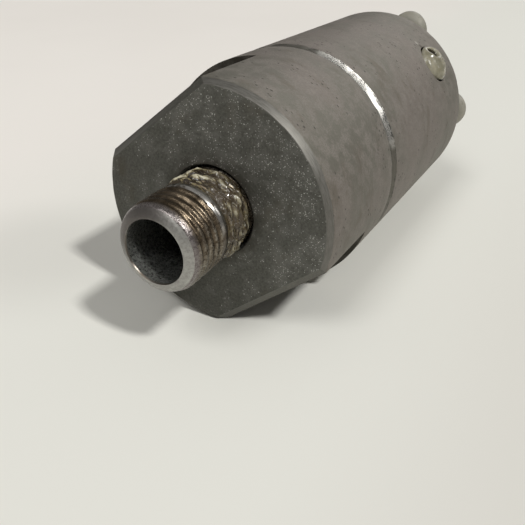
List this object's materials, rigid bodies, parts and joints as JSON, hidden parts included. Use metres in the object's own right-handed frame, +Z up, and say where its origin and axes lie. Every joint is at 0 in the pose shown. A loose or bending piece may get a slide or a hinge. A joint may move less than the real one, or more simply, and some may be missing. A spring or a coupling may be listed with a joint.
{
  "type": "pneumatic muffler",
  "caption": "Cylindrical steel exhaust muffler with a threaded inlet nipple, wrench flats on the front half, a turned seam, and a milky lobed end cap with an exhaust grille at the rear.",
  "frame": {"origin": "centre of the housing's flat front face, on the axis of the inlet bore", "axes": "+Y along the axis from the inlet towards the end cap, +Z up as the muffler lies on its side on a table, +X to the right seen from the front"},
  "size_m": [0.0388, 0.0877, 0.0384],
  "materials": {
    "housing_steel": "satin, fine turned, worn",
    "nipple_steel": "oily, stained, worn bright on the crests",
    "sealant": "lumpy, glossy",
    "sintered_bronze": "porous, matt",
    "seal_rubber": "matt",
    "stainless": "bright rolled",
    "felt": "matt needled felt",
    "spring_steel": "oiled, dark",
    "cap_plastic": "milky moulded nylon, satin",
    "lock_compound": "milky, glossy, lumpy"
  },
  "bodies": {
    "root": {"inlet_nipple": "nipple_steel", "thread_sealant": "sealant", "front_body": "housing_steel", "inlet_strainer": "sintered_bronze", "body_seal": "seal_rubber", "diffuser_tube": "stainless", "tube_plug": "stainless", "front_absorber": "felt", "front_baffle": "stainless", "front_spacer": "stainless", "middle_absorber": "felt", "middle_baffle": "stainless", "rear_spacer": "stainless", "rear_absorber": "felt", "rear_baffle": "stainless", "stack_spring": "spring_steel", "spring_seat": "stainless", "rear_shell": "housing_steel", "end_cap": "cap_plastic", "cap_seal": "seal_rubber", "exhaust_disc": "sintered_bronze", "disc_clip": "spring_steel", "cap_lock_screw": "spring_steel", "lock_sealant": "lock_compound"}
  },
  "joints": []
}
